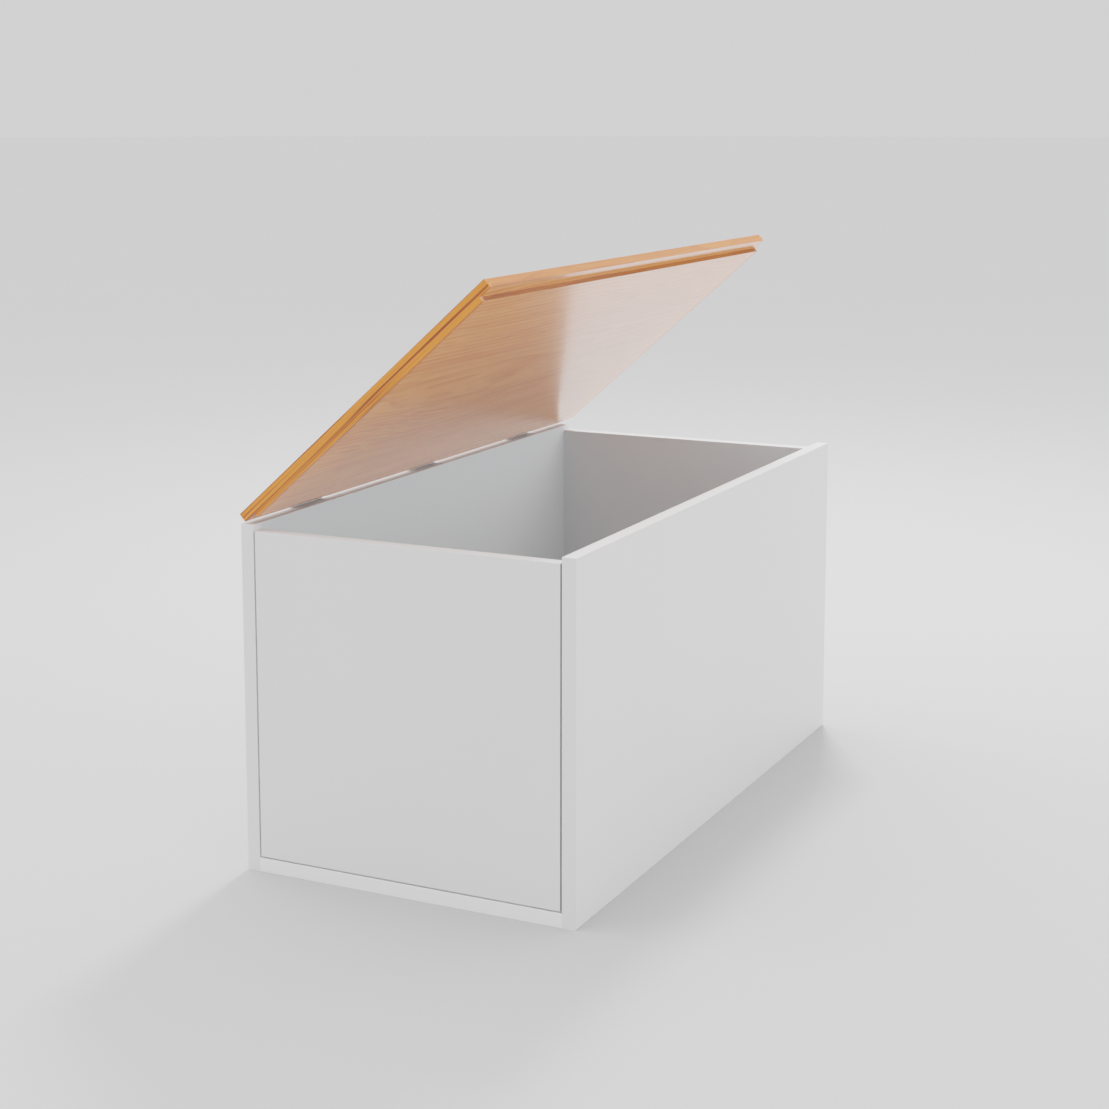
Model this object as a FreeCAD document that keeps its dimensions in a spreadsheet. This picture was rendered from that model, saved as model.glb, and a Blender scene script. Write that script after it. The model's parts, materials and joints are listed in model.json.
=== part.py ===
"""Storage bench: a lacquered chest of butted, dowelled panels with an oak lid on three torque hinges.

Frame: millimetres, +X along the bench, +Y towards the hinges, +Z up. The origin is the centre of
the footprint, on the floor. The lid is stored part open, as it stands when let go.
"""

import FreeCAD
import Part
import os
import re
import Sketcher

# --------------------------------------------------------------------------- driving dimensions

SIZES = {
    # the whole bench
    "length": (910, "overall length, along X"),
    "depth": (460, "overall depth, along Y"),
    "height": (460, "overall height with the lid closed"),
    "open_angle": (41.6, "angle that the lid is stored open at"),
    # carcass panels
    "board": (18, "thickness of every carcass panel"),
    "end_drop": (8, "how far the end panels stop below the long panels"),
    "shadow_gap": (2, "width of the shadow gap round the end panels"),
    "shadow_depth": (4, "depth of the shadow gap"),
    "arris": (0.8, "radius of the eased edges"),
    # lid
    "lip": (12, "thickness of the lid's rim, which covers the long panels"),
    "tongue": (6, "depth of the lid's middle below its rim"),
    "seat_gap": (0.3, "gap between the closed lid's rim and the long panels"),
    "tongue_gap": (0.6, "gap between the lid's middle and each long panel"),
    "lipping": (6, "thickness of the cross-grained strip on each end of the lid"),
    # dowels
    "dowel_radius": (4, "radius of a dowel"),
    "dowel_length": (30, "length of a dowel"),
    "dowel_seat": (10, "how deep a dowel stands in the face of a board"),
    "dowel_chamfer": (0.8, "chamfer on a dowel's ends"),
    "dowel_fit": (0.05, "radial glue clearance round a dowel"),
    "dowel_relief": (1, "space left at the bottom of a dowel's hole"),
    "corner_inset": (60, "from an end panel's top or bottom to its nearest corner dowel"),
    "corner_count": (4, "dowels in each corner of the carcass"),
    "rail_inset": (65, "from the bench's end to the nearest dowel in the bottom's long edge"),
    "rail_count": (6, "dowels in each long edge of the bottom panel"),
    "sill_inset": (62, "from an end panel's side to its nearest dowel into the bottom panel"),
    "sill_count": (3, "dowels between each end panel and the bottom panel"),
    # hinges
    "hinge_inset": (150, "from the bench's end to the middle of the outer hinges"),
    "hinge_length": (76, "length of a hinge"),
    "leaf": (1.5, "thickness of a hinge leaf"),
    "leaf_gap": (0.3, "gap between the two leaves when the lid is closed"),
    "leaf_reach": (30, "how far the fixed leaf reaches down the back panel"),
    "leaf_margin": (0.6, "from the moving leaf's lower edge to the rim's underside"),
    "mortise_gap": (0.3, "gap at each end of a leaf in its mortise"),
    "knuckle_radius": (2.5, "outer radius of a hinge's knuckles"),
    "knuckle_gap": (0.4, "gap between neighbouring knuckles, and round them"),
    "pin_radius": (1.25, "radius of a hinge pin"),
    "pin_fit": (0.02, "radial clearance of the pin in the fixed knuckles"),
    "sleeve_wall": (0.55, "wall of a friction sleeve"),
    "running_fit": (0.03, "radial clearance of the pin in the friction sleeves"),
    "sleeve_slit": (0.6, "width of the slit along a friction sleeve"),
    # screws
    "screw_inset": (12, "from a leaf's end to its nearest screw"),
    "screw_count": (3, "screws in each leaf"),
    "screw_fit": (0.05, "radial clearance of a screw in wood and in its leaf"),
    "slot_depth": (0.7, "depth of the cross recess in a screw's head"),
    "slot_width": (0.7, "width of an arm of the cross recess"),
    "panel_screw": (1.6, "shank radius of the screws in the back panel"),
    "panel_head": (3.1, "head radius of the screws in the back panel"),
    "panel_screw_length": (16, "length of the screws in the back panel"),
    "lid_screw": (1.2, "shank radius of the screws in the lid's edge"),
    "lid_head": (2.3, "head radius of the screws in the lid's edge"),
    "lid_screw_length": (20, "length of the screws in the lid's edge"),
}

DERIVED = {
    "carcass_height": "height - lip - seat_gap",
    "inner_depth": "depth - 2 * board",
    "end_height": "carcass_height - end_drop - board",
    "slab": "board - shadow_depth",
    "slab_centre": "length / 2 - shadow_depth - slab / 2",
    "rabbet": "board + tongue_gap",
    "dowel_tail": "dowel_length - dowel_seat",
    "corner_span": "end_height - 2 * corner_inset",
    "rail_span": "length - 2 * rail_inset",
    "sill_span": "inner_depth - 2 * sill_inset",
    "pin_height": "height - knuckle_radius",
    "rim_bottom": "knuckle_radius - lip",
    "lid_bottom": "rim_bottom - tongue",
    "knuckle_room": "knuckle_radius + knuckle_gap",
    "knuckle": "(hinge_length - 4 * knuckle_gap) / 5",
    "knuckle_pitch": "2 * (knuckle + knuckle_gap)",
    "fixed_leaf_bottom": "rim_bottom - seat_gap - leaf_reach",
    "moving_leaf_bottom": "rim_bottom + leaf_margin",
    "moving_leaf_back": "leaf_gap + leaf",
    "sleeve_radius": "pin_radius + running_fit + sleeve_wall",
    "screw_span": "hinge_length - 2 * screw_inset",
    "panel_screw_drop": "rim_bottom - seat_gap - leaf_reach / 2",
    "lid_screw_drop": "(moving_leaf_bottom - knuckle_room) / 2",
}

doc = FreeCAD.newDocument("storage_bench")
sheet = doc.addObject("Spreadsheet::Sheet", "Sizes")
for row, (alias, (value, meaning)) in enumerate(SIZES.items(), start=1):
    sheet.set(f"A{row}", str(value))
    sheet.setAlias(f"A{row}", alias)
    sheet.set(f"B{row}", meaning)
doc.recompute()

SUB_PARTS = []


# ------------------------------------------------------------------------------ sketching helpers


def formula(text):
    """Writes a formula in words as a spreadsheet expression."""

    def cell(match):
        word = match.group(0)
        if word in SIZES:
            return f"Sizes.{word}"
        if word in DERIVED:
            return f"({formula(DERIVED[word])})"
        return word

    return re.sub(r"[a-z_]+", cell, str(text))


def bind(thing, **formulas):
    """Binds properties to formulas; __ stands for the dot in a property's path."""
    for name, text in formulas.items():
        thing.setExpression(name.replace("__", "."), formula(text))


def new_body(label, x=0, y=0, z=0, turn=None):
    """A body placed by formulas; turn is a fixed rotation about +Z."""
    body = doc.addObject("PartDesign::Body", label)
    body.Label = label
    if turn:
        body.Placement.Rotation = FreeCAD.Rotation(FreeCAD.Vector(0, 0, 1), turn)
    bind(body, Placement__Base__x=x, Placement__Base__y=y, Placement__Base__z=z)
    SUB_PARTS.append(body)
    return body


def lid_body(label, x=0):
    """A body whose own origin is on the pin axis, turned to the lid's stored angle."""
    body = new_body(label, x, "depth / 2", "pin_height")
    body.Placement.Rotation = FreeCAD.Rotation(FreeCAD.Vector(-1, 0, 0), 30)
    bind(body, Placement__Rotation__Angle="open_angle")
    return body


def origin_feature(body, role):
    return next(f for f in body.Origin.OriginFeatures if f.Role == role)


def new_sketch(body, name, plane, x=0, y=0, out=0):
    """A sketch on one of the body's planes, moved x and y in that plane and out along its normal."""
    sketch = body.newObject("Sketcher::SketchObject", name)
    sketch.AttachmentSupport = [(origin_feature(body, plane), "")]
    sketch.MapMode = "FlatFace"
    bind(sketch, AttachmentOffset__Base__x=x, AttachmentOffset__Base__y=y, AttachmentOffset__Base__z=out)
    return sketch


def fix_point(sketch, index, end, x, y):
    """Holds one end of a line, or a circle's centre, at a place given by two formulas."""
    for kind, text in (("DistanceX", x), ("DistanceY", y)):
        name = f"{kind}_{index}"
        constraint = sketch.addConstraint(
            Sketcher.Constraint(kind, -1, 1, index, end, float(sheet.evalExpression(formula(text))))
        )
        sketch.renameConstraint(constraint, name)
        sketch.setExpression(f"Constraints.{name}", formula(text))


def outline(sketch, points):
    """A closed outline of straight lines through points given as pairs of formulas."""
    spots = [
        FreeCAD.Vector(*(float(sheet.evalExpression(formula(text))) for text in point), 0)
        for point in points
    ]
    for start, end in zip(spots, spots[1:] + spots[:1]):
        sketch.addGeometry(Part.LineSegment(start, end))
    for index in range(len(points)):
        following = (index + 1) % len(points)
        sketch.addConstraint(Sketcher.Constraint("Coincident", index, 2, following, 1))
    for index, (x, y) in enumerate(points):
        fix_point(sketch, index, 1, x, y)


def rectangle(sketch, left, bottom, right, top):
    outline(sketch, [(left, bottom), (right, bottom), (right, top), (left, top)])


def circle(sketch, radius):
    """A circle about the sketch's own origin."""
    start = float(sheet.evalExpression(formula(radius)))
    index = sketch.addGeometry(Part.Circle(FreeCAD.Vector(), FreeCAD.Vector(0, 0, 1), start))
    sketch.addConstraint(Sketcher.Constraint("Coincident", index, 3, -1, 1))
    constraint = sketch.addConstraint(Sketcher.Constraint("Radius", index, start))
    name = f"Radius_{index}"
    sketch.renameConstraint(constraint, name)
    sketch.setExpression(f"Constraints.{name}", formula(radius))


# ------------------------------------------------------------------------------- feature helpers


def extrude(body, sketch, kind, thickness, against=False, both_ways=False):
    """A Pad or a Pocket of a sketch. A Pad goes along the normal, a Pocket into the solid behind it."""
    feature = body.newObject(f"PartDesign::{kind}", f"{sketch.Name}_{kind.lower()}")
    feature.Profile = sketch
    feature.Reversed = against
    feature.Midplane = both_ways
    bind(feature, Length=thickness)
    return feature


def turn_round(body, sketch, kind, axis):
    """A Revolution or a Groove of a half profile about its sketch's H_Axis or V_Axis."""
    feature = body.newObject(f"PartDesign::{kind}", f"{sketch.Name}_{kind.lower()}")
    feature.Profile = sketch
    feature.ReferenceAxis = (sketch, [axis])
    feature.Angle = 360
    return feature


def repeat(body, features, axis, span, count):
    """Spreads features evenly along one of the body's axes, count of them over the span."""
    pattern = body.newObject("PartDesign::LinearPattern", f"{features[0].Name}_row")
    pattern.Originals = features
    pattern.Direction = (origin_feature(body, axis), [""])
    bind(pattern, Length=span, Occurrences=count)
    body.Tip = pattern
    return pattern


def ease(body, base, edge_wanted):
    """Rounds the edges of the base feature that a test picks out."""
    doc.recompute()
    names = [f"Edge{i}" for i, edge in enumerate(base.Shape.Edges, start=1) if edge_wanted(edge)]
    fillet = body.newObject("PartDesign::Fillet", f"{body.Name}_eased")
    fillet.Base = (base, names)
    bind(fillet, Radius="arris")
    body.Tip = fillet
    return fillet


def lies_along(edge, direction):
    ends = edge.Vertexes
    run = ends[-1].Point - ends[0].Point
    return run.Length > 0 and abs(run.normalize().dot(direction)) > 0.999


def drill_row(body, name, plane, place, axis, span, count, radius, deep, against=False):
    """A row of blind holes of one radius, the first at place = (x, y, out) on a plane."""
    sketch = new_sketch(body, name, plane, *place)
    circle(sketch, radius)
    hole = extrude(body, sketch, "Pocket", deep, against)
    return repeat(body, [hole], axis, span, count)


X_AXIS = FreeCAD.Vector(1, 0, 0)

DOWEL_HOLE = "dowel_radius + dowel_fit"
SEAT_DEPTH = "dowel_seat + dowel_relief"
TAIL_DEPTH = "dowel_tail + dowel_relief"

# ---------------------------------------------------------------------------------- the carcass


def long_panel(label, side):
    """The front (side -1) or back (side 1) panel. In its own frame it is 0 to -board in Y, inside at 0."""
    body = new_body(label, y=f"{side} * inner_depth / 2", turn=180 if side > 0 else None)
    face = new_sketch(body, f"{label}_face", "XZ_Plane")
    rectangle(face, "-length / 2", "0", "length / 2", "carcass_height")
    slab = extrude(body, face, "Pad", "board")
    doc.recompute()
    box = slab.Shape.BoundBox

    def eased(edge):
        middle = edge.CenterOfMass
        return middle.y < box.YMin + 0.01 or middle.z > box.ZMax - 0.01

    ease(body, slab, eased)
    for end in (-1, 1):
        drill_row(
            body, f"{label}_corner_{end + 2}", "XZ_Plane", (f"{end} * slab_centre", "board + corner_inset", 0),
            "Z_Axis", "corner_span", "corner_count", DOWEL_HOLE, SEAT_DEPTH, against=True,
        )
    drill_row(
        body, f"{label}_rail", "XZ_Plane", ("-rail_span / 2", "board / 2", 0),
        "X_Axis", "rail_span", "rail_count", DOWEL_HOLE, SEAT_DEPTH, against=True,
    )
    return body


def back_panel():
    """The back panel also takes the screws of the fixed leaves, from its outer face."""
    body = long_panel("back_panel", 1)
    for number, middle in HINGES.items():
        drill_row(
            body, f"back_screws_{number}", "XZ_Plane",
            (f"{middle} - screw_span / 2", "pin_height + panel_screw_drop", "board"),
            "X_Axis", "screw_span", "screw_count",
            "panel_screw + screw_fit", "panel_screw_length - leaf + dowel_relief",
        )
    return body


def end_panel(label, side):
    """The left (side -1) or right (side 1) end. In its own frame it is 0 to -board in X, inside at 0."""
    body = new_body(label, x=f"{side} * (length / 2 - board)", z="board", turn=180 if side > 0 else None)
    back = new_sketch(body, f"{label}_slab", "YZ_Plane")
    rectangle(back, "-inner_depth / 2", "0", "inner_depth / 2", "end_height")
    extrude(body, back, "Pad", "slab", against=True)
    face = new_sketch(body, f"{label}_face", "YZ_Plane", out="-slab")
    rectangle(face, "-inner_depth / 2 + shadow_gap", "shadow_gap", "inner_depth / 2 - shadow_gap", "end_height")
    front = extrude(body, face, "Pad", "shadow_depth", against=True)
    doc.recompute()
    box = front.Shape.BoundBox

    def eased(edge):
        middle = edge.CenterOfMass
        inner_top = middle.z > box.ZMax - 0.01 and middle.x > box.XMax - 0.01
        return inner_top or middle.x < box.XMin + 0.01

    ease(body, front, eased)
    for edge, out, against in ((1, "inner_depth / 2", False), (2, "-inner_depth / 2", True)):
        drill_row(
            body, f"{label}_corner_{edge}", "XZ_Plane", ("-slab / 2", "corner_inset", out),
            "Z_Axis", "corner_span", "corner_count", DOWEL_HOLE, TAIL_DEPTH, against,
        )
    drill_row(
        body, f"{label}_sill", "XY_Plane", ("-slab / 2", "-sill_span / 2", 0),
        "Y_Axis", "sill_span", "sill_count", DOWEL_HOLE, TAIL_DEPTH, against=True,
    )
    return body


def bottom_panel():
    """The bottom stands on the floor between the long panels and carries the end panels."""
    body = new_body("bottom_panel")
    plan = new_sketch(body, "bottom_plan", "XY_Plane")
    rectangle(plan, "-length / 2", "-inner_depth / 2", "length / 2", "inner_depth / 2")
    extrude(body, plan, "Pad", "board")
    for edge, out, against in ((1, "inner_depth / 2", False), (2, "-inner_depth / 2", True)):
        drill_row(
            body, f"bottom_rail_{edge}", "XZ_Plane", ("-rail_span / 2", "board / 2", out),
            "X_Axis", "rail_span", "rail_count", DOWEL_HOLE, TAIL_DEPTH, against,
        )
    for end in (-1, 1):
        drill_row(
            body, f"bottom_sill_{end + 2}", "XY_Plane", (f"{end} * slab_centre", "-sill_span / 2", "board"),
            "Y_Axis", "sill_span", "sill_count", DOWEL_HOLE, SEAT_DEPTH,
        )
    return body


def dowels(label, plane, place, axis, span, count):
    """A row of dowels with chamfered ends. Each runs from place along the V axis of its profile's plane."""
    body = new_body(label, *place)
    profile = new_sketch(body, f"{label}_profile", plane)
    outline(
        profile,
        [
            ("0", "0"),
            ("dowel_radius - dowel_chamfer", "0"),
            ("dowel_radius", "dowel_chamfer"),
            ("dowel_radius", "dowel_length - dowel_chamfer"),
            ("dowel_radius - dowel_chamfer", "dowel_length"),
            ("0", "dowel_length"),
        ],
    )
    first = turn_round(body, profile, "Revolution", "V_Axis")
    repeat(body, [first], axis, span, count)
    return body


def carcass_dowels():
    starts = {
        "front": "-inner_depth / 2 - dowel_seat",
        "back": "inner_depth / 2 - dowel_tail",
    }
    for long_side, start in starts.items():
        for end_side, sign in (("left", -1), ("right", 1)):
            place = (f"{sign} * slab_centre", start, "board + corner_inset")
            dowels(f"{long_side}_{end_side}_dowels", "XY_Plane", place, "Z_Axis", "corner_span", "corner_count")
        place = ("-rail_span / 2", start, "board / 2")
        dowels(f"{long_side}_bottom_dowels", "XY_Plane", place, "X_Axis", "rail_span", "rail_count")
    for end_side, sign in (("left", -1), ("right", 1)):
        place = (f"{sign} * slab_centre", "-sill_span / 2", "board - dowel_seat")
        dowels(f"{end_side}_bottom_dowels", "XZ_Plane", place, "Y_Axis", "sill_span", "sill_count")


# -------------------------------------------------------------------------------------- the lid

LID_PROFILE = [
    ("0", "knuckle_radius"),
    ("0", "rim_bottom"),
    ("-rabbet", "rim_bottom"),
    ("-rabbet", "lid_bottom"),
    ("-depth + rabbet", "lid_bottom"),
    ("-depth + rabbet", "rim_bottom"),
    ("-depth", "rim_bottom"),
    ("-depth", "knuckle_radius"),
]


def rim_edge(box):
    """Picks out the lengthwise edges of the lid's rim, front and back."""

    def eased(edge):
        middle = edge.CenterOfMass
        at_rim = middle.y > box.YMax - 0.01 or middle.y < box.YMin + 0.01
        return at_rim and lies_along(edge, X_AXIS)

    return eased


def lid_board():
    """The oak board: a thick middle that drops between the long panels, and a rim that lies on them."""
    body = lid_body("lid_board")
    profile = new_sketch(body, "lid_profile", "YZ_Plane")
    outline(profile, LID_PROFILE)
    plank = extrude(body, profile, "Pad", "length - 2 * lipping", both_ways=True)
    doc.recompute()
    ease(body, plank, rim_edge(plank.Shape.BoundBox))
    mortise = new_sketch(body, "mortise", "YZ_Plane", out="length / 2 - hinge_inset")
    outline(
        mortise,
        [
            ("leaf", "knuckle_radius + leaf"),
            ("-knuckle_room", "knuckle_radius + leaf"),
            ("-knuckle_room", "-knuckle_room"),
            ("-moving_leaf_back", "-knuckle_room"),
            ("-moving_leaf_back", "rim_bottom - leaf"),
            ("leaf", "rim_bottom - leaf"),
        ],
    )
    cut = extrude(body, mortise, "Pocket", "hinge_length + 2 * mortise_gap", both_ways=True)
    row = repeat(body, [cut], "X_Axis", "length - 2 * hinge_inset", "3")
    row.Reversed = True
    for number, middle in HINGES.items():
        drill_row(
            body, f"lid_screws_{number}", "XZ_Plane",
            (f"{middle} - screw_span / 2", "lid_screw_drop", "moving_leaf_back"),
            "X_Axis", "screw_span", "screw_count",
            "lid_screw + screw_fit", "lid_screw_length - leaf + dowel_relief", against=True,
        )
    return body


def lid_lipping(label, side):
    """A cross-grained strip glued over one end of the board, with the board's own profile."""
    body = lid_body(label, x=f"{side} * (length / 2 - lipping)")
    profile = new_sketch(body, f"{label}_profile", "YZ_Plane")
    outline(profile, LID_PROFILE)
    strip = extrude(body, profile, "Pad", "lipping", against=side < 0)
    doc.recompute()
    ease(body, strip, rim_edge(strip.Shape.BoundBox))
    return body


# ----------------------------------------------------------------------------------- the hinges

HINGES = {
    "left": "-(length / 2 - hinge_inset)",
    "middle": "0",
    "right": "(length / 2 - hinge_inset)",
}


def knuckles(body, name, first, low, high, count, bore):
    """Knuckles about the pin axis, each with a web from low to high in Y that joins it to its leaf."""
    web = new_sketch(body, f"{name}_web", "YZ_Plane", out=first)
    rectangle(web, low, "-knuckle_room - leaf", high, "0")
    webs = extrude(body, web, "Pad", "knuckle")
    barrel = new_sketch(body, f"{name}_barrel", "YZ_Plane", out=first)
    circle(barrel, "knuckle_radius")
    barrels = extrude(body, barrel, "Pad", "knuckle")
    repeat(body, [webs, barrels], "X_Axis", f"{count - 1} * knuckle_pitch", count)
    hole = new_sketch(body, f"{name}_bore", "YZ_Plane")
    circle(hole, bore)
    extrude(body, hole, "Pocket", "hinge_length + 2 * leaf", both_ways=True)


def screw_outline(shank, head, long, fit="0"):
    """Half of a countersunk screw along -Y, with the same clearance all round where it is a hole."""
    return [
        ("0", "0"),
        (f"{head} + {fit}", "0"),
        (f"{shank} + {fit}", f"-({head} - {shank})"),
        (f"{shank} + {fit}", f"-{long} + 2 * {shank}"),
        ("0", f"-{long}"),
    ]


def countersinks(body, name, y, drop, shank, head):
    """A row of countersunk holes through a leaf whose outer face is at y."""
    profile = new_sketch(body, name, "XY_Plane", x="-screw_span / 2", y=y, out=drop)
    outline(profile, screw_outline(shank, head, "4 * leaf", "screw_fit"))
    hole = turn_round(body, profile, "Groove", "V_Axis")
    repeat(body, [hole], "X_Axis", "screw_span", "screw_count")


def screws(label, make_body, x, y, drop, shank, head, long):
    """A row of countersunk cross-head screws whose heads lie flush with a leaf's outer face at y."""
    body = make_body(label, x)
    profile = new_sketch(body, f"{label}_profile", "XY_Plane", x="-screw_span / 2", y=y, out=drop)
    outline(profile, screw_outline(shank, head, long))
    first = turn_round(body, profile, "Revolution", "V_Axis")
    repeat(body, [first], "X_Axis", "screw_span", "screw_count")
    for name, wide, high in (("across", shank, "slot_width / 2"), ("down", "slot_width / 2", shank)):
        slot = new_sketch(body, f"{label}_{name}", "XZ_Plane", x="-screw_span / 2", y=drop, out=f"-({y})")
        rectangle(slot, f"-{wide}", f"-{high}", wide, high)
        recess = extrude(body, slot, "Pocket", "slot_depth", against=True)
        repeat(body, [recess], "X_Axis", "screw_span", "screw_count")
    return body


def pin_frame_body(label, x):
    """A body of the carcass whose own origin is on the pin axis."""
    return new_body(label, x, "depth / 2", "pin_height")


def hinge(side, middle):
    """A torque hinge: the fixed leaf and its pin stand still, and the moving leaf's sleeves grip the pin."""
    fixed = pin_frame_body(f"{side}_hinge_fixed_leaf", middle)
    plate = new_sketch(fixed, f"{side}_fixed_plate", "XZ_Plane")
    rectangle(plate, "-hinge_length / 2", "fixed_leaf_bottom", "hinge_length / 2", "-knuckle_room")
    extrude(fixed, plate, "Pad", "leaf", against=True)
    knuckles(fixed, f"{side}_fixed", "-hinge_length / 2", "0", "leaf", 3, "pin_radius + pin_fit")
    countersinks(fixed, f"{side}_fixed_holes", "leaf", "panel_screw_drop", "panel_screw", "panel_head")

    moving = lid_body(f"{side}_hinge_moving_leaf", middle)
    plate = new_sketch(moving, f"{side}_moving_plate", "XZ_Plane", out="leaf_gap")
    rectangle(plate, "-hinge_length / 2", "moving_leaf_bottom", "hinge_length / 2", "-knuckle_room")
    extrude(moving, plate, "Pad", "leaf")
    first = "-hinge_length / 2 + knuckle_pitch / 2"
    knuckles(moving, f"{side}_moving", first, "-moving_leaf_back", "-leaf_gap", 2, "sleeve_radius + pin_fit")
    countersinks(moving, f"{side}_moving_holes", "-leaf_gap", "lid_screw_drop", "lid_screw", "lid_head")

    pin = pin_frame_body(f"{side}_hinge_pin", middle)
    rod = new_sketch(pin, f"{side}_pin_rod", "YZ_Plane")
    circle(rod, "pin_radius")
    extrude(pin, rod, "Pad", "hinge_length", both_ways=True)

    sleeves = lid_body(f"{side}_hinge_friction_sleeves", middle)
    ring = new_sketch(sleeves, f"{side}_sleeve_ring", "YZ_Plane", out=first)
    circle(ring, "sleeve_radius")
    circle(ring, "pin_radius + running_fit")
    tube = extrude(sleeves, ring, "Pad", "knuckle")
    slit = new_sketch(sleeves, f"{side}_sleeve_slit", "YZ_Plane", out=first)
    rectangle(slit, "-sleeve_slit / 2", "0", "sleeve_slit / 2", "knuckle_radius")
    opening = extrude(sleeves, slit, "Pocket", "knuckle", against=True)
    repeat(sleeves, [tube, opening], "X_Axis", "knuckle_pitch", "2")

    screws(
        f"{side}_hinge_panel_screws", pin_frame_body, middle, "leaf", "panel_screw_drop",
        "panel_screw", "panel_head", "panel_screw_length",
    )
    screws(
        f"{side}_hinge_lid_screws", lid_body, middle, "-leaf_gap", "lid_screw_drop",
        "lid_screw", "lid_head", "lid_screw_length",
    )


# ------------------------------------------------------------------------------ build and export


def check(thing):
    """Stops if an object failed, or if a sub-part's shape is missing or broken."""
    if {"Invalid", "Error"} & set(thing.State):
        raise RuntimeError(f"{thing.Label} failed: {thing.State}")
    if thing in SUB_PARTS and (thing.Shape.isNull() or not thing.Shape.isValid()):
        raise RuntimeError(f"{thing.Label} has no valid shape")


long_panel("front_panel", -1)
back_panel()
end_panel("left_end_panel", -1)
end_panel("right_end_panel", 1)
bottom_panel()
carcass_dowels()
lid_board()
lid_lipping("lid_left_lipping", -1)
lid_lipping("lid_right_lipping", 1)
for side, middle in HINGES.items():
    hinge(side, middle)
doc.recompute()

for thing in doc.Objects:
    check(thing)
os.makedirs("parts", exist_ok=True)
for body in SUB_PARTS:
    body.Shape.exportStep(f"parts/{body.Label}.step")
    solids = body.Shape.Solids
    print(f"{body.Label}: {len(solids)} solids, {sum(s.Volume for s in solids):.1f} mm3")
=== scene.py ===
"""Storage bench: a white lacquered chest with a glossy oak lid, in a pale studio.

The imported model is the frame. Panels and lid are modelled afresh in its boxes, and the hinges
and dowels keep their own shapes and get their finishes here. All lengths are in metres.
"""

import json
import math

import bmesh
import bpy
from bpy.props import FloatProperty, FloatVectorProperty, PointerProperty
from mathutils import Matrix, Vector


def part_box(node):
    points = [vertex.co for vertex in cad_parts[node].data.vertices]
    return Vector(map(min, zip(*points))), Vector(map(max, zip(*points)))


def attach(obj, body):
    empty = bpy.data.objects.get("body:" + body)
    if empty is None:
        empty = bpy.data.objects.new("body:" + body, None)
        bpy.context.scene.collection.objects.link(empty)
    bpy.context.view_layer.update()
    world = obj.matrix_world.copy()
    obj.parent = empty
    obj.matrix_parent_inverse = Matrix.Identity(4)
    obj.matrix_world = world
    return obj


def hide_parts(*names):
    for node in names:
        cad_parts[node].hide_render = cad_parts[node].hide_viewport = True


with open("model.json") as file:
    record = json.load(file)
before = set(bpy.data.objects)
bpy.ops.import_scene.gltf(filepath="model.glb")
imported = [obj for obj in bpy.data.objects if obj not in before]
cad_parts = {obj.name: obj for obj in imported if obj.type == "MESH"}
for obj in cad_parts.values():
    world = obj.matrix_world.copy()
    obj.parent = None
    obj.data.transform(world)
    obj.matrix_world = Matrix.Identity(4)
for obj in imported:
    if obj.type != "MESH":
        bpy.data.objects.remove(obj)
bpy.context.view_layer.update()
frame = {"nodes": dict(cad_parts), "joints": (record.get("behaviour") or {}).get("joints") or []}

bl_info = {
    "name": "Storage bench",
    "version": (1, 0, 0),
    "blender": (4, 5, 0),
    "location": "3D View > Sidebar > Bench",
    "description": "Builds a lacquered storage bench with an oak lid, and a studio for it",
    "category": "Object",
}

HINGE = next(joint for joint in frame["joints"] if joint["name"] == "lid_hinge")
PIN = Vector(HINGE["pos_m"])
OPEN_ANGLE = math.radians(-HINGE["range_deg"][0])
FRONT_LOW, FRONT_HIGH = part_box("front_panel")
BACK_LOW, BACK_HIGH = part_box("back_panel")
SIDES = ("left", "right")
# How far the top of the closed lid stands above the hinge pins' axis.
PIN_DROP = 0.0025
# How far a mask or a mortise reaches past the face that it starts from.
WALL_SLACK = 0.001
PLACE_SLACK = 0.0005
GAP_SLACK = 0.0003
EDGE_SLACK = 0.0001
# The reach of the floor, and the width of the fill light.
FLOOR_RADIUS = 60
FILL_SIZE = 0.9
INNER = Vector((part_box("right_end_panel")[0].x, BACK_LOW.y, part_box("bottom_panel")[1].z))

# ------------------------------------------------------------------------------ sizes and colours


def length_property(name, description, default):
    return FloatProperty(name=name, description=description, default=default, unit="LENGTH", precision=5)


def share_property(name, description, default):
    return FloatProperty(
        name=name, description=description, default=default, min=0, max=1, subtype="FACTOR"
    )


def colour_property(name, description, default):
    return FloatVectorProperty(
        name=name, description=description, default=default, size=3, min=0, max=1, subtype="COLOR"
    )


class BENCH_PG_carcass(bpy.types.PropertyGroup):
    arris: length_property("Arris", "Radius of the eased edges of the panels", 0.0008)
    shadow_gap: length_property("Shadow gap", "Width of the gap round the end panels", 0.002)
    shadow_depth: length_property("Shadow depth", "Depth of the gap round the end panels", 0.004)
    lacquer: colour_property("Lacquer", "Colour of the lacquer", (0.64, 0.638, 0.64))
    # Painted shade: the lacquer inside the chest is painted darker and cooler than outside.
    inner: colour_property("Inner painted shade", "Colour of the lacquer inside the chest", (0.54, 0.578, 0.598))
    # Painted light: the bottom panel's two end edges are painted paler than the rest of the lacquer.
    foot_painted_light: colour_property("Foot painted light", "Colour of the bottom panel's two end edges", (0.76, 0.758, 0.76))
    # Painted shade: the end panels' walls in the shadow gap by the front panel are painted darker.
    gap_shade: share_property("Gap shade", "How pale an end panel is in the gap by the front panel", 0.4)
    # Painted shade: the panels' upper edges are painted darker than their faces, for the lid's shade over
    # them.
    top_shade: share_property("Top shade", "How pale the panels' upper edges are beside their faces", 0.80)
    top_polish: share_property("Top polish", "How much of the lacquer's shine the upper edges keep", 0.25)
    sheen: share_property("Roughness", "Roughness of the satin lacquer", 0.42)
    orange_peel: length_property("Orange peel", "Height of the ripple in the sprayed lacquer", 0.00001)


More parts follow.
